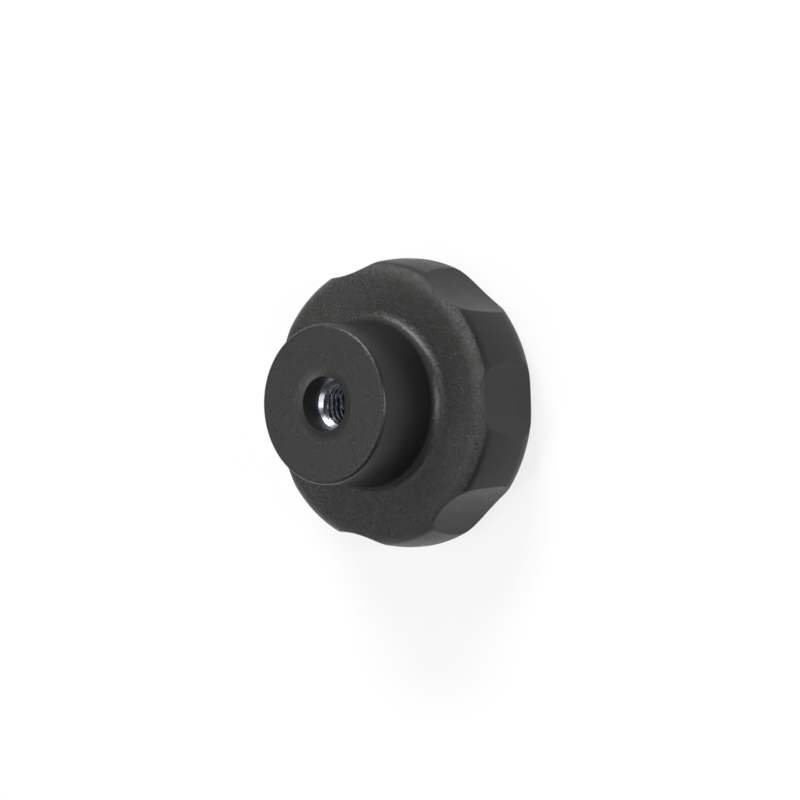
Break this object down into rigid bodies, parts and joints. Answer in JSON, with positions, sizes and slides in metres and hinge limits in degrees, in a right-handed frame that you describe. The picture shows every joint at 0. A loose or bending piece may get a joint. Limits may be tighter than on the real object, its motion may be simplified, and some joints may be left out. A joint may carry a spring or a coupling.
{
  "type": "star knob nut",
  "caption": "Seven-lobed black plastic clamping knob with a round hub and a blind M8 threaded steel bush, tightened by hand on a stud",
  "frame": {"origin": "middle of the flat crown, on the thread's axis", "axes": "+Z along the thread's axis and out of its mouth, -Y through the middle of one finger scallop"},
  "size_m": [0.05, 0.0491, 0.029],
  "materials": {
    "moulded_plastic": "black glass-filled nylon, fine spark-eroded grain on the hub and the head's face, satin sides and crown",
    "plated_steel": "turned steel, bright zinc plated with a bluish tone"
  },
  "bodies": {
    "root": {"knob_body": "moulded_plastic", "threaded_insert": "plated_steel"}
  },
  "joints": []
}
